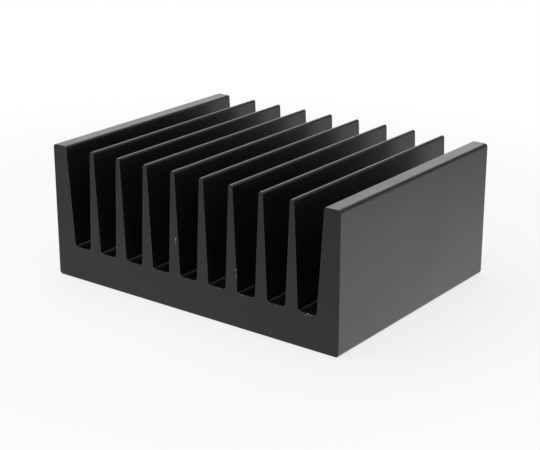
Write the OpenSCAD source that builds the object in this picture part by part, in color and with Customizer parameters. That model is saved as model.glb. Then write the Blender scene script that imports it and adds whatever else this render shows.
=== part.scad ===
// Extruded heat sink: a flat base that carries a comb of tapered cooling fins between
// two heavier end walls, all one piece of aluminium, sawn from a long extrusion.
// X runs across the fins, Y along the extrusion and Z up, away from the mounting face.
// The origin is the middle of the mounting face.

/* [Cut length] */
// Length of the piece along its fins, from one saw cut to the other
length = 75; // [30:5:200]

/* [Base] */
// Thickness of the base under the groove floors
base_t = 10; // [4:0.5:20]
// Radius of the four long outer edges
edge_r = 1; // [0.4:0.1:2]

/* [Fins] */
// Number of fins between the two end walls
fin_count = 8; // [1:1:16]
// Height of the fins and the end walls above the groove floors
fin_h = 30; // [12:1:50]
// Distance from the middle of one fin to the middle of the next
fin_pitch = 10; // [8:0.5:16]
// Thickness of a fin where it leaves the groove floor
fin_root = 4; // [2.5:0.1:5]
// Thickness of a fin at its tip
fin_tip = 1.3; // [0.9:0.1:2.4]
// Radius of the edges at the fin tips and of the inner edges of the end walls
tip_r = 0.6; // [0.1:0.05:0.8]

/* [End walls] */
// Thickness of an end wall where it leaves the groove floor
wall_root = 7; // [5:0.5:12]
// Thickness of an end wall at its top
wall_top = 5; // [3:0.5:7]

/* [Grooves] */
// Radius where a groove floor turns up into a fin or an end wall
floor_r = 1; // [0.3:0.1:1.4]

/* [Hidden] */

groove_floor = fin_pitch - fin_root;
body_h = base_t + fin_h;
body_w = fin_count * fin_pitch + groove_floor + 2 * wall_root;
// A thin fin has no room for the full radius on both sides of its tip
fin_tip_r = min(tip_r, 0.47 * fin_tip);

// Overlap that fuses neighbouring shapes of the section into one
lap = 0.5;
// How far an arc runs past its tangent points, so that it always meets both sides
arc_over = 0.001;
arc_sides = 64;

function unit(v) = v / norm(v);

// What lies between a corner and the arc that rounds it: added to an inside corner it is
// a fillet, and cut from an outside corner it leaves a round. The arc touches the two
// sides that leave the corner along the unit vectors side_a and side_b, anticlockwise.
module corner_web(corner, side_a, side_b, r) {
    half_angle = acos(side_a * side_b) / 2;
    middle = unit(side_a + side_b);
    centre = corner + middle * r / sin(half_angle);
    reach = r / tan(half_angle);
    past_a = unit(corner + side_a * reach - centre) * (r + lap);
    past_b = unit(corner + side_b * reach - centre) * (r + lap);
    difference() {
        polygon([centre, centre + past_b, corner - middle * lap, centre + past_a]);
        translate(centre)
            circle(r = r + arc_over, $fn = arc_sides);
    }
}

// One side of a fin or an end wall, from a straight back at x = 0 to the sloping flank
// of a groove, with a fillet at the groove floor and a rounded edge at the top.
module upright(root, tip, head_r) {
    foot = [root, base_t];
    head = [tip, body_h];
    up = unit(head - foot);
    difference() {
        union() {
            polygon([[0, base_t - lap], [root, base_t - lap], foot, head, [0, body_h]]);
            corner_web(foot, [1, 0], up, floor_r);
        }
        corner_web(head, [-1, 0], -up, head_r);
    }
}

module both_sides() {
    children();
    mirror([1, 0])
        children();
}

module base() {
    translate([-body_w / 2, 0])
        square([body_w, base_t]);
}

module fins() {
    for (i = [0 : fin_count - 1])
        translate([(i - (fin_count - 1) / 2) * fin_pitch, 0])
            both_sides()
                upright(fin_root / 2, fin_tip / 2, fin_tip_r);
}

module end_walls() {
    both_sides()
        translate([-body_w / 2, 0])
            upright(wall_root, wall_top, tip_r);
}

// The die's outline: everything that the extrusion has, seen from its sawn end
module section() {
    difference() {
        union() {
            base();
            fins();
            end_walls();
        }
        both_sides() {
            corner_web([body_w / 2, 0], [0, 1], [-1, 0], edge_r);
            corner_web([body_w / 2, body_h], [-1, 0], [0, -1], edge_r);
        }
    }
}

module heat_sink() {
    color([0.05, 0.05, 0.055])
        rotate([90, 0, 0])
            linear_extrude(height = length, center = true)
                section();
}

heat_sink();
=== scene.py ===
# %% [markdown]
# # Dressing an extruded heat sink
# The real object is one length of aluminium that was pushed through a die, sawn to length
# and anodised black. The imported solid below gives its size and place, and it is never
# moved. Everything here is in metres, with X across the fins, Y along them and Z up.

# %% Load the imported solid
import math

import bmesh
import bpy
from mathutils import Matrix, Vector
from mathutils.bvhtree import BVHTree


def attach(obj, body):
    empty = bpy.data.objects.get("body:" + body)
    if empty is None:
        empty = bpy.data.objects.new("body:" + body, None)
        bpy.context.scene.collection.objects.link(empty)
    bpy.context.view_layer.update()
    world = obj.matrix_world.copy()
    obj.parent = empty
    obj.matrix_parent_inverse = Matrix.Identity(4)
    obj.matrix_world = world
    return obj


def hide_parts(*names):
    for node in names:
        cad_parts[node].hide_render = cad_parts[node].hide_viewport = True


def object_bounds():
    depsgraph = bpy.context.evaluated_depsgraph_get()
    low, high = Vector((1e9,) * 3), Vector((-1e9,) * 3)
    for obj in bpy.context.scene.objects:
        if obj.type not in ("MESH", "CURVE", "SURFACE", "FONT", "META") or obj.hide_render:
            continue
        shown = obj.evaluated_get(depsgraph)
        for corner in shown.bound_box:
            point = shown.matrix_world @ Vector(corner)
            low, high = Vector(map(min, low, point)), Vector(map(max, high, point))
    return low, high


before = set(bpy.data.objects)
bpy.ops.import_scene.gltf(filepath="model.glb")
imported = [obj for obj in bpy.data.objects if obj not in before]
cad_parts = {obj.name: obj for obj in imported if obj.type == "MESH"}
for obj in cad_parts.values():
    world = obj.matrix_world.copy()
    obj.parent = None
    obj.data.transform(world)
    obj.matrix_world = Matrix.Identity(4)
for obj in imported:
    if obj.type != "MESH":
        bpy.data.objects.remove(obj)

MM = 0.001
cad_low, cad_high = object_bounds()
half_width = cad_high.x
half_length = cad_high.y
body_height = cad_high.z
print("solid, mm:", [round(side / MM, 2) for side in cad_high - cad_low])

# %% [markdown]
# ## The section
# An extrusion is the same all along its length, so its look is decided by the outline of
# its sawn end. These are the sizes of that outline that the outer box doesn't give. The
# solid has them too; the model is built again here because a mesh that is made for
# looking at wants finer rounds and broken edges at the saw cuts.

# %% Sizes of the section
BASE_T = 10 * MM
FIN_COUNT = 8
FIN_PITCH = 10 * MM
FIN_ROOT, FIN_TIP = 4 * MM, 1.3 * MM
WALL_ROOT, WALL_TOP = 7 * MM, 5 * MM
EDGE_R, FLOOR_R, TIP_R = 1 * MM, 1 * MM, 0.6 * MM

fin_height = body_height - BASE_T
groove_floor = FIN_PITCH - FIN_ROOT
print("fins:", FIN_COUNT, "each", round(fin_height / MM, 1), "mm high")

# %% [markdown]
# ## From a slab to a comb
# One way to make this is to draw the comb's outline and extrude it. Here it is grown from
# a slab instead, as one would do by hand: cut the slab where the fins start, pull every
# other strip up, and narrow the tops. Nothing has to be worked out point by point, and a
# change of the fin count needs no other change.

# %% The slab, cut where each groove floor starts and ends
comb = bmesh.new()
bmesh.ops.create_cube(comb, size=1.0)
bmesh.ops.scale(comb, vec=(2 * half_width, 2 * half_length, BASE_T), verts=comb.verts)
bmesh.ops.translate(comb, vec=(0, 0, BASE_T / 2), verts=comb.verts)

for groove in range(FIN_COUNT + 1):
    middle = (groove - FIN_COUNT / 2) * FIN_PITCH
    for x in (middle - groove_floor / 2, middle + groove_floor / 2):
        everything = comb.verts[:] + comb.edges[:] + comb.faces[:]
        bmesh.ops.bisect_plane(
            comb, geom=everything, plane_co=(x, 0, 0), plane_no=(1, 0, 0))

strips = [face for face in comb.faces if face.normal.z > 0.5]
strips.sort(key=lambda face: face.calc_center_median().x)
print("strips across the slab:", len(strips))

# %% Every other strip grows into a fin or an end wall
grown = bmesh.ops.extrude_face_region(comb, geom=strips[0::2])["geom"]
bmesh.ops.delete(comb, geom=strips[0::2], context="FACES_ONLY")
raised = [item for item in grown if isinstance(item, bmesh.types.BMVert)]
bmesh.ops.translate(comb, vec=(0, 0, fin_height), verts=raised)

# %% [markdown]
# ## The taper
# Fins are thicker at the root, because heat enters there and because the die's long steel
# tongues need the room. A fin narrows towards its own middle. An end wall keeps its outer
# face upright and narrows only from the inside, so it is scaled towards that outer face.

# %% Narrow each top
for top in [item for item in grown if isinstance(item, bmesh.types.BMFace)]:
    middle_x = top.calc_center_median().x
    is_wall = abs(middle_x) > half_width - WALL_ROOT
    keep_x = math.copysign(half_width, middle_x) if is_wall else middle_x
    narrowing = WALL_TOP / WALL_ROOT if is_wall else FIN_TIP / FIN_ROOT
    bmesh.ops.scale(
        comb, vec=(narrowing, 1, 1), verts=top.verts,
        space=Matrix.Translation((-keep_x, 0, 0)))

bmesh.ops.dissolve_limit(
    comb, angle_limit=math.radians(1), verts=comb.verts, edges=comb.edges)
comb.normal_update()
print("flat faces of the sharp comb:", len(comb.faces))

# %% [markdown]
# ## Rounds that the die leaves
# A die can't cut a perfectly sharp corner, and metal doesn't fill one, so every long edge
# has a radius. The fin tips are so thin that their two rounds nearly meet in the middle. A
# bevel's offset is how far it reaches along the two faces. For an arc of radius r between
# faces whose normals turn by an angle a, that reach is r tan(a/2). An edge loop could be
# moved by hand instead, but the bevel keeps every arc tangent to the sloping flanks.

# %% Round the long edges
def long_edges(wanted):
    """Edges that run along the extrusion at places (x, z) that wanted() accepts."""
    found = []
    for edge in comb.edges:
        one, other = (vert.co for vert in edge.verts)
        runs_along = abs(one.x - other.x) + abs(one.z - other.z) < 0.001 * MM
        if runs_along and wanted(abs(one.x), one.z):
            found.append(edge)
    return found


def round_over(wanted, radius, segments):
    edges = long_edges(wanted)
    turn = edges[0].calc_face_angle()
    bmesh.ops.bevel(
        comb, geom=edges, affect="EDGES", offset_type="OFFSET",
        offset=radius * math.tan(turn / 2), segments=segments, profile=0.5,
        material=-1, clamp_overlap=False)
    return len(edges)


def close_to(value, target):
    return abs(value - target) < 0.01 * MM


wall_foot = half_width - WALL_ROOT
wall_head = half_width - WALL_TOP
counts = [
    round_over(lambda x, z: close_to(x, half_width), EDGE_R, 10),
    round_over(lambda x, z: close_to(z, BASE_T) and close_to(x, wall_foot), FLOOR_R, 10),
    round_over(lambda x, z: close_to(z, BASE_T) and x < wall_foot - MM, FLOOR_R, 10),
    round_over(lambda x, z: close_to(z, body_height) and close_to(x, wall_head), TIP_R, 8),
    round_over(lambda x, z: close_to(z, body_height) and x < wall_head - MM, TIP_R, 8),
]
print("rounded edges: outer, wall foot, fin foot, wall top, fin tip:", counts)

# %% [markdown]
# ## The saw cuts
# Both ends are sawn square and then only brushed over, so their edges are broken by less
# than a tenth of a millimetre. That is too little to measure from a step away, but it
# catches a hair of light along every edge, and a perfectly sharp edge looks drawn, not
# made. The edges to break are those that join an end face to any other face.

# %% Break the sawn edges
SAWN_EDGE = 0.06 * MM


def is_end(face):
    return abs(face.normal.y) > 0.99


comb.normal_update()
sawn = [edge for edge in comb.edges
        if sum(is_end(face) for face in edge.link_faces) == 1]
bmesh.ops.bevel(
    comb, geom=sawn, affect="EDGES", offset_type="OFFSET", offset=SAWN_EDGE,
    segments=2, profile=0.5, material=-1, clamp_overlap=False)
comb.normal_update()
open_edges = sum(not edge.is_manifold for edge in comb.edges)
print("sawn edges:", len(sawn), "open edges:", open_edges, "faces:", len(comb.faces))

# %% [markdown]
# ## A check and a name
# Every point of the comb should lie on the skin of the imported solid, apart from what the
# broken edges take off. A tree of the solid's faces finds the nearest one to each point
# quickly. After that the bmesh becomes an object. Faces only store the number of a
# material slot, so the slots are filled in the same order as the three numbers.

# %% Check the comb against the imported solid
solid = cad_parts["heat_sink"]
solid_tree = BVHTree.FromObject(solid, bpy.context.evaluated_depsgraph_get())
gaps = [solid_tree.find_nearest(vert.co)[3] for vert in comb.verts]
print("farthest from the solid, mm:", round(max(gaps) / MM, 3))

# %% Make it an object, with a material slot for each finish
DRAWN, SAWN, BARE = 0, 1, 2
finishes = [bpy.data.materials.new(name) for name in
            ("drawn_black_anodise", "sawn_black_anodise", "bare_aluminium")]
for face in comb.faces:
    face.material_index = SAWN if is_end(face) else DRAWN
mesh = bpy.data.meshes.new("anodised_heat_sink")
comb.to_mesh(mesh)
comb.free()
for finish in finishes:
    mesh.materials.append(finish)
sink = bpy.data.objects.new("anodised_heat_sink", mesh)
bpy.context.scene.collection.objects.link(sink)
print("slots:", [finish.name for finish in mesh.materials])

# %% [markdown]
# ## Chips in the edges
# Fins get knocked in a parts bin. Where the sawn edge was hit, a flake of the black layer
# is gone and bare metal shows. A chip could be painted with a mask, but then it has no
# depth. Here each one is cut with a small lumpy pebble, so the dent is real geometry, and
# the boolean carries the pebble's material number onto its floor. Pebbles that overlap
# would confuse the boolean, so a long chip is a row of pebbles that don't quite touch.

# %% The pebbles
LUMP_DEPTH = 0.22
LUMPS_ACROSS, LUMPS_UP = 5100, 4300      # radians a metre: about one lump a millimetre
CHIPS = (  # mm: x and z of the middle, then half sizes across, into the end and up
    (-4.40, 20.65, 0.13, 0.10, 0.50),
    (-4.48, 19.45, 0.06, 0.08, 0.60),
    (16.74, 16.52, 0.28, 0.16, 0.25),
    (16.79, 15.05, 0.08, 0.25, 1.15),
    (16.87, 13.20, 0.06, 0.20, 0.60),
    (40.27, 9.94, 0.31, 0.24, 0.17),
    (41.15, 9.72, 0.18, 0.14, 0.13),
    (39.50, 9.32, 0.11, 0.10, 0.10),
    (18.80, 9.77, 0.24, 0.12, 0.09),
    (23.20, 15.10, 0.12, 0.10, 0.40),
)
pebbles = bmesh.new()
for x, z, across, deep, tall in CHIPS:
    made = bmesh.ops.create_icosphere(pebbles, subdivisions=2, radius=MM)["verts"]
    for vert in made:
        wave = math.sin(LUMPS_ACROSS * vert.co.x + 3 * x) * math.cos(LUMPS_UP * vert.co.z + z)
        vert.co *= 1 + LUMP_DEPTH * wave
    bmesh.ops.scale(pebbles, vec=(across, deep, tall), verts=made)
    bmesh.ops.translate(pebbles, vec=(x * MM, -half_length, z * MM), verts=made)
for face in pebbles.faces:
    face.material_index = BARE
pebble_mesh = bpy.data.meshes.new("pebbles")
pebbles.to_mesh(pebble_mesh)
pebbles.free()
pebble_object = bpy.data.objects.new("pebbles", pebble_mesh)
bpy.context.scene.collection.objects.link(pebble_object)
print("chips:", len(CHIPS))

# %% Cut the chips and keep the result as the mesh
chip_cut = sink.modifiers.new("chips", "BOOLEAN")
chip_cut.operation = "DIFFERENCE"
chip_cut.solver = "EXACT"
chip_cut.object = pebble_object
evaluated = sink.evaluated_get(bpy.context.evaluated_depsgraph_get())
chipped = bpy.data.meshes.new_from_object(evaluated)
sink.modifiers.clear()
sink.data = chipped
sink.data.name = "anodised_heat_sink"
bpy.data.objects.remove(pebble_object)
bare_faces = sum(face.material_index == BARE for face in chipped.polygons)
print("faces:", len(chipped.polygons), "of them bare metal:", bare_faces)

# %% [markdown]
# ## Shading
# The rounds should look round and the big faces dead flat. Smooth shading alone bends the
# light on a flat face near its edges. A Weighted Normal modifier lets the large face win
# at each corner, so all the bending happens in the narrow rounds.

# %% Smooth rounds, flat faces
CREASE = math.radians(35)
chipped.polygons.foreach_set("use_smooth", [True] * len(chipped.polygons))
chipped.set_sharp_from_angle(angle=CREASE)
weighted = sink.modifiers.new("flat_faces_win", "WEIGHTED_NORMAL")
weighted.keep_sharp = True
weighted.weight = 100
print("edges left sharp:", sum(edge.use_edge_sharp for edge in chipped.edges))

# %% [markdown]
# ## Building materials from nodes
# Black anodising is dyed oxide on metal. It has no metallic look of its own: it is nearly
# black and shines like a satin varnish. What tells its surfaces apart is the marks left
# under it, and two kinds of mark turn up in every finish here. Each is a node group, built
# once, that hands out plain values between 0 and 1. The helpers below only save typing:
# each adds one node, joins it up and returns the socket that the next node needs.

# %% Helpers for nodes
def add(tree, kind, **settings):
    made = tree.nodes.new(kind)
    for name, value in settings.items():
        setattr(made, name, value)
    return made


def wire(tree, source, target):
    tree.links.new(source, target)


def math_node(tree, operation, first, second):
    made = add(tree, "ShaderNodeMath", operation=operation)
    for socket, value in zip(made.inputs, (first, second)):
        if isinstance(value, bpy.types.NodeSocket):
            wire(tree, value, socket)
        else:
            socket.default_value = value
    return made.outputs[0]


def remap(tree, value, low, high):
    """Stretches a value from 0..1 to low..high."""
    made = add(tree, "ShaderNodeMapRange")
    made.inputs["To Min"].default_value = low
    made.inputs["To Max"].default_value = high
    wire(tree, value, made.inputs["Value"])
    return made.outputs["Result"]


def noise(tree, vector, scale, detail, roughness=0.5):
    made = add(tree, "ShaderNodeTexNoise")
    made.inputs["Detail"].default_value = detail
    made.inputs["Roughness"].default_value = roughness
    wire(tree, vector, made.inputs["Vector"])
    if isinstance(scale, bpy.types.NodeSocket):
        wire(tree, scale, made.inputs["Scale"])
    else:
        made.inputs["Scale"].default_value = scale
    return made.outputs["Fac"]


def new_group(name, inputs, outputs):
    group = bpy.data.node_groups.new(name, "ShaderNodeTree")
    for label, kind in inputs:
        group.interface.new_socket(label, in_out="INPUT", socket_type=kind)
    for label in outputs:
        group.interface.new_socket(label, in_out="OUTPUT", socket_type="NodeSocketFloat")
    return group, add(group, "NodeGroupInput"), add(group, "NodeGroupOutput")


def use_group(tree, group, vector, **values):
    made = add(tree, "ShaderNodeGroup", node_tree=group)
    wire(tree, vector, made.inputs["Vector"])
    for label, value in values.items():
        made.inputs[label].default_value = value
    return made

# %% [markdown]
# ### Satin
# Before anodising, the metal is etched in caustic soda, which leaves a frosty surface of
# tiny pits, and the dye takes a little better in some places than in others. The group
# puts out both: Grain for the pits and Cloud for the soft patches.

# %% The satin group
satin, satin_in, satin_out = new_group(
    "satin",
    [("Vector", "NodeSocketVector"), ("Grains", "NodeSocketFloat"),
     ("Clouds", "NodeSocketFloat")],
    ["Grain", "Cloud"])
grain = noise(satin, satin_in.outputs["Vector"], satin_in.outputs["Grains"], 2)
cloud = noise(satin, satin_in.outputs["Vector"], satin_in.outputs["Clouds"], 3, 0.6)
wire(satin, grain, satin_out.inputs["Grain"])
wire(satin, cloud, satin_out.inputs["Cloud"])
print("satin group:", len(satin.nodes), "nodes")

# %% [markdown]
# ### Lines
# A die scores the metal as it slides through, a saw scores it as it turns, and a knock
# drags it. All are streaks that hardly change along their length. A noise texture makes
# such streaks when its coordinates are squeezed along one direction, so the group takes
# coordinates that its user has squeezed already, and adds broad and fine streaks.

# %% The line group
FINER_BY = 7.0
BROAD_PART, FINE_PART = 0.65, 0.35
lines, lines_in, lines_out = new_group(
    "lines", [("Vector", "NodeSocketVector"), ("Streaks", "NodeSocketFloat")], ["Line"])
broad = noise(lines, lines_in.outputs["Vector"], lines_in.outputs["Streaks"], 2, 0.7)
finer = math_node(lines, "MULTIPLY", lines_in.outputs["Streaks"], FINER_BY)
fine = noise(lines, lines_in.outputs["Vector"], finer, 1)
blend = math_node(lines, "ADD", math_node(lines, "MULTIPLY", broad, BROAD_PART),
                  math_node(lines, "MULTIPLY", fine, FINE_PART))
wire(lines, blend, lines_out.inputs["Line"])
print("line group:", len(lines.nodes), "nodes")

# %% [markdown]
# ## The three finishes
# They share one recipe. Cloud, Line and Grain are added up to one tone, which tints the
# colour a little and moves the roughness, and Line and Grain are the height of a bump.
# Only the squeezed coordinates and the amounts differ.

# %% The recipe
GRAINS = 2600.0                          # a metre, so a pit is about 0.4 mm wide
CLOUD_PART, LINE_PART, GRAIN_PART = 0.4, 0.3, 0.3


def mix_colour(tree, factor, low, high):
    made = add(tree, "ShaderNodeMix", data_type="RGBA")
    wire(tree, factor, made.inputs["Factor"])
    made.inputs["A"].default_value = (*low, 1)
    made.inputs["B"].default_value = (*high, 1)
    return made.outputs["Result"]


def object_coordinates(tree):
    return add(tree, "ShaderNodeTexCoord").outputs["Object"]


def squeezed(tree, vector, scale):
    made = add(tree, "ShaderNodeMapping")
    made.inputs["Scale"].default_value = scale
    wire(tree, vector, made.inputs["Vector"])
    return made.outputs["Vector"]


def build_finish(material, squeeze, streaks, clouds, dark, light, rough, heights):
    """dark and light are colours, rough is (smoothest, roughest), heights in metres."""
    material.use_nodes = True
    tree = material.node_tree
    shader = tree.nodes["Principled BSDF"]
    place = object_coordinates(tree)
    pits = use_group(tree, satin, place, Grains=GRAINS, Clouds=clouds)
    marks = use_group(tree, lines, squeeze(tree, place), Streaks=streaks)
    from_cloud = math_node(tree, "MULTIPLY", pits.outputs["Cloud"], CLOUD_PART)
    from_line = math_node(tree, "MULTIPLY", marks.outputs["Line"], LINE_PART)
    from_grain = math_node(tree, "MULTIPLY", pits.outputs["Grain"], GRAIN_PART)
    tone = math_node(tree, "ADD", math_node(tree, "ADD", from_cloud, from_line), from_grain)
    wire(tree, mix_colour(tree, tone, dark, light), shader.inputs["Base Color"])
    wire(tree, remap(tree, tone, *rough), shader.inputs["Roughness"])
    line_height, grain_height = heights
    share = grain_height / line_height
    relief = math_node(tree, "ADD", marks.outputs["Line"],
                       math_node(tree, "MULTIPLY", pits.outputs["Grain"], share))
    bump = add(tree, "ShaderNodeBump")
    bump.inputs["Strength"].default_value = 1.0
    bump.inputs["Distance"].default_value = line_height
    wire(tree, relief, bump.inputs["Height"])
    wire(tree, bump.outputs["Normal"], shader.inputs["Normal"])
    return shader

# %% [markdown]
# ### Drawn faces
# The die's lines run the whole length of the fins, so their coordinates are squeezed
# along Y to almost nothing.

# %% Finish of the drawn faces
drawn = build_finish(
    finishes[DRAWN],
    squeeze=lambda tree, place: squeezed(tree, place, (1.0, 0.004, 1.0)),
    streaks=900.0, clouds=45.0,
    dark=(0.0025, 0.0025, 0.0025), light=(0.0045, 0.0045, 0.0045),
    rough=(0.16, 0.56), heights=(0.0016 * MM, 0.0016 * MM))
drawn.inputs["IOR"].default_value = 1.8
print("drawn finish:", len(finishes[DRAWN].node_tree.nodes), "nodes")

# %% [markdown]
# ### Burnished groove floors
# The grooves are shaped by long tongues in the die, whose tips rub hardest, so the groove
# floors come out smoother than the faces. They are part of the same metal, so they get no
# material of their own. The roughness is multiplied by a mask that is low near the floor's
# height, and only between the two end walls.

# %% Burnish the groove floors
BURNISH = 0.55
FADES_UP = (BASE_T + 0.2 * MM, BASE_T + 1.5 * MM)
FADES_OUT = (wall_foot + 0.5 * MM, wall_foot + 1.5 * MM)


def step_between(tree, value, start, end, low, high):
    """Turns smoothly from low to high while the value goes from start to end."""
    made = add(tree, "ShaderNodeMapRange", interpolation_type="SMOOTHSTEP")
    wire(tree, value, made.inputs["Value"])
    ends = {"From Min": start, "From Max": end, "To Min": low, "To Max": high}
    for label, number in ends.items():
        made.inputs[label].default_value = number
    return made.outputs["Result"]


tree = finishes[DRAWN].node_tree
split = add(tree, "ShaderNodeSeparateXYZ")
wire(tree, object_coordinates(tree), split.inputs[0])
from_middle = math_node(tree, "ABSOLUTE", split.outputs["X"], 0.0)
above_floor = step_between(tree, split.outputs["Z"], *FADES_UP, BURNISH, 1.0)
outside = step_between(tree, from_middle, *FADES_OUT, BURNISH, 1.0)
burnished = math_node(tree, "MAXIMUM", above_floor, outside)
plain_rough = drawn.inputs["Roughness"].links[0].from_socket
wire(tree, math_node(tree, "MULTIPLY", plain_rough, burnished), drawn.inputs["Roughness"])
print("roughness of the groove floors times", BURNISH)

# %% [markdown]
# ### Sawn ends
# A circular saw leaves shallow arcs about its own axle. The distance from the axle is
# the only coordinate that the marks depend on, and the axle is well below the part.

# %% Finish of the sawn ends
SAW_AXLE = (-25 * MM, -140 * MM)
ALONG_ARC = 0.02         # how little the marks change along their arcs


def round_the_axle(tree, place):
    """Coordinates that change with the distance from the saw's axle, and slowly across."""
    split = add(tree, "ShaderNodeSeparateXYZ")
    wire(tree, place, split.inputs[0])
    across = math_node(tree, "SUBTRACT", split.outputs["X"], SAW_AXLE[0])
    above = math_node(tree, "SUBTRACT", split.outputs["Z"], SAW_AXLE[1])
    squares = math_node(tree, "ADD", math_node(tree, "MULTIPLY", across, across),
                        math_node(tree, "MULTIPLY", above, above))
    distance = math_node(tree, "SQRT", squares, 0.0)
    joined = add(tree, "ShaderNodeCombineXYZ")
    wire(tree, distance, joined.inputs["X"])
    wire(tree, math_node(tree, "MULTIPLY", across, ALONG_ARC), joined.inputs["Y"])
    return joined.outputs["Vector"]


sawn_finish = build_finish(
    finishes[SAWN], squeeze=round_the_axle, streaks=1400.0, clouds=60.0,
    dark=(0.003, 0.003, 0.003), light=(0.010, 0.010, 0.010),
    rough=(0.36, 0.68), heights=(0.0030 * MM, 0.0012 * MM))
sawn_finish.inputs["IOR"].default_value = 1.44
print("sawn finish:", len(finishes[SAWN].node_tree.nodes), "nodes")

# %% [markdown]
# ### Bare aluminium
# The floor of a chip is torn metal. This one is truly metallic, so its colour is the
# colour of its shine.

# %% Finish of the chips
bare = build_finish(
    finishes[BARE],
    squeeze=lambda tree, place: squeezed(tree, place, (1.0, 0.3, 0.15)),
    streaks=2500.0, clouds=400.0,
    dark=(0.40, 0.40, 0.41), light=(0.62, 0.62, 0.63),
    rough=(0.35, 0.60), heights=(0.006 * MM, 0.002 * MM))
bare.inputs["Metallic"].default_value = 1.0
print("bare metal:", len(finishes[BARE].node_tree.nodes), "nodes")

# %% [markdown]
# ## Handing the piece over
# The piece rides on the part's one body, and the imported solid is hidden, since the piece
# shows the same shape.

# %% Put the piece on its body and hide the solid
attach(sink, "root")
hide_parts("heat_sink")

# %% [markdown]
# ## The table and the backdrop
# The part stands on a pale sweep that is nothing but background. Near the part, a quarter
# of what the camera sees of it is plain paint that takes the soft shadow. The rest, and all
# of it farther out, glows white. A gloss sees the glow as well, and there it is a painted
# pool of light: full near the part and dimmer farther off, as a lit table looks from low
# down. Other rays only meet the paint, so the part mirrors the glow but isn't lit by it.

# %% Rays that look at the background
def looks_at_background(tree):
    """1 for camera, glossy and transmission rays, 0 for the light that falls on things."""
    path = add(tree, "ShaderNodeLightPath")
    either = math_node(tree, "MAXIMUM", path.outputs["Is Camera Ray"],
                       path.outputs["Is Glossy Ray"])
    return math_node(tree, "MAXIMUM", either, path.outputs["Is Transmission Ray"])

# %% The floor
FLOOR_SIZE = 8.0
FLOOR_GAP = 0.1 * MM
surface = bmesh.new()
bmesh.ops.create_grid(surface, x_segments=1, y_segments=1, size=FLOOR_SIZE / 2)
bmesh.ops.translate(surface, vec=(0, 0, cad_low.z - FLOOR_GAP), verts=surface.verts)
floor_mesh = bpy.data.meshes.new("floor")
surface.to_mesh(floor_mesh)
surface.free()
floor = bpy.data.objects.new("floor", floor_mesh)
bpy.context.scene.collection.objects.link(floor)

# %% Its paint and its glow
# A painted pool of light for gloss rays: the glow is full around this middle and fades to a
# share of it farther off.
PAINTED_POOL_MIDDLE = (-0.03, 0.01, 0)
PAINTED_POOL_FADES, PAINTED_POOL_FAR = (0.07, 0.27), 0.45      # metres from and to, and what is left there
PAINT_FADES, PAINT_SHARE = (0.10, 0.20), 0.25
PALE = 0.88
paint = bpy.data.materials.new("pale_sweep")
paint.use_nodes = True
tree = paint.node_tree
tree.nodes.clear()
pale = add(tree, "ShaderNodeBsdfDiffuse")
pale.inputs["Color"].default_value = (PALE, PALE, PALE, 1)
glow = add(tree, "ShaderNodeEmission")
glow.inputs["Color"].default_value = (1, 1, 1, 1)
path = add(tree, "ShaderNodeLightPath")
reach = add(tree, "ShaderNodeVectorMath", operation="DISTANCE")
wire(tree, object_coordinates(tree), reach.inputs[0])
reach.inputs[1].default_value = PAINTED_POOL_MIDDLE
# The painted pool of light: glow strength for gloss rays falls with the distance from its
# middle.
for_gloss = step_between(tree, reach.outputs["Value"], *PAINTED_POOL_FADES, 1.0, PAINTED_POOL_FAR)
wire(tree, math_node(tree, "MAXIMUM", path.outputs["Is Camera Ray"], for_gloss),
     glow.inputs["Strength"])
both = add(tree, "ShaderNodeMixShader")
near = step_between(tree, reach.outputs["Value"], *PAINT_FADES, PAINT_SHARE, 0.0)
painted = math_node(tree, "MULTIPLY", path.outputs["Is Camera Ray"], near)
wire(tree, math_node(tree, "SUBTRACT", looks_at_background(tree), painted),
     both.inputs["Fac"])
wire(tree, pale.outputs[0], both.inputs[1])
wire(tree, glow.outputs[0], both.inputs[2])
wire(tree, both.outputs[0], add(tree, "ShaderNodeOutputMaterial").inputs["Surface"])
floor_mesh.materials.append(paint)

# %% [markdown]
# ## Light
# Gloss on something this dark is mostly a picture of the room, so the room matters more
# than the lamps. A gloss sees it white at the horizon, as a sweep is, and dimmer towards
# the ceiling. A broad lamp behind the part gives the tops of the fins and walls their
# sheen. A large soft one overhead draws the rounded edges, and a small low one at the
# front left lifts the sawn end. A soft lamp has to be large, not strong: a small strong one
# would give the same light, but it would show as a glare in every face that mirrors it.

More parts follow.
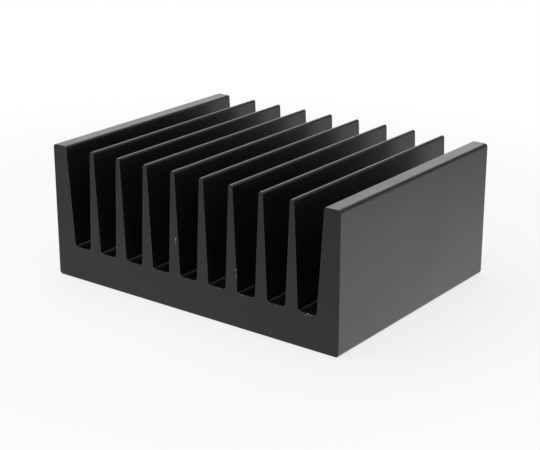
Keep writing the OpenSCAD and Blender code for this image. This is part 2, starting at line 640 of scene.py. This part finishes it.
# %% The room
CEILING_STARTS, CEILING = 0.25, 0.25     # sine of the angle upwards, and its brightness
ROOM_LIGHT = 0.25
world = bpy.data.worlds.new("studio")
bpy.context.scene.world = world
world.use_nodes = True
tree = world.node_tree
tree.nodes.clear()
heading = add(tree, "ShaderNodeSeparateXYZ")
wire(tree, add(tree, "ShaderNodeTexCoord").outputs["Generated"], heading.inputs[0])
for_gloss = step_between(tree, heading.outputs["Z"], 0.0, CEILING_STARTS, 1.0, CEILING)
straight = add(tree, "ShaderNodeLightPath").outputs["Is Camera Ray"]
seen = add(tree, "ShaderNodeBackground")
wire(tree, math_node(tree, "MAXIMUM", straight, for_gloss), seen.inputs["Strength"])
felt = add(tree, "ShaderNodeBackground")
felt.inputs["Strength"].default_value = ROOM_LIGHT
room = add(tree, "ShaderNodeMixShader")
wire(tree, looks_at_background(tree), room.inputs["Fac"])
wire(tree, felt.outputs[0], room.inputs[1])
wire(tree, seen.outputs[0], room.inputs[2])
wire(tree, room.outputs[0], add(tree, "ShaderNodeOutputWorld").inputs["Surface"])

# %% The lamps
def softbox(name, place, size, brightness):
    """A rectangular lamp aimed at the part; brightness 1 looks as bright as white."""
    lamp = bpy.data.lights.new(name, "AREA")
    lamp.shape = "RECTANGLE"
    lamp.size, lamp.size_y = size
    lamp.energy = brightness * math.pi * size[0] * size[1]
    holder = bpy.data.objects.new(name, lamp)
    holder.location = place
    aim = Vector((0, 0, body_height / 2)) - Vector(place)
    holder.rotation_euler = aim.to_track_quat("-Z", "Y").to_euler()
    bpy.context.scene.collection.objects.link(holder)
    return holder


softbox("fill_light", place=(-0.40, -0.40, 0.10), size=(0.25, 0.2), brightness=2.2)
softbox("back_light", place=(-0.45, 0.75, 0.30), size=(0.9, 0.45), brightness=1.3)
softbox("key_light", place=(-0.03, -0.06, 0.42), size=(0.80, 0.70), brightness=1.35)
print("lamps:", [lamp.name for lamp in bpy.data.lights])

# %% [markdown]
# ## The camera
# A product is usually taken from a step back with a long lens, so that its parallel edges
# stay nearly parallel. This one stands to the right and above. It is placed by where it
# looks and from which direction, which is easier to adjust than its own place and angles.

# %% The camera
TURN, RISE = math.radians(36.97), math.radians(19.41)
STEP_BACK = 0.4132
AIM = Vector((-3.31 * MM, 4.13 * MM, 13.29 * MM))
back = Vector((math.sin(TURN) * math.cos(RISE), -math.cos(TURN) * math.cos(RISE),
               math.sin(RISE)))
lens = bpy.data.cameras.new("camera")
lens.sensor_width, lens.lens = 36.0, 92.49       # mm
lens.clip_start, lens.clip_end = 0.01, 20.0
camera = bpy.data.objects.new("camera", lens)
camera.location = AIM + back * STEP_BACK
camera.rotation_mode = "QUATERNION"
camera.rotation_quaternion = (-back).to_track_quat("-Z", "Y")
bpy.context.scene.collection.objects.link(camera)
bpy.context.scene.camera = camera
bpy.context.scene.view_settings.view_transform = "Standard"
print("camera at, mm:", [round(place / MM) for place in camera.location])
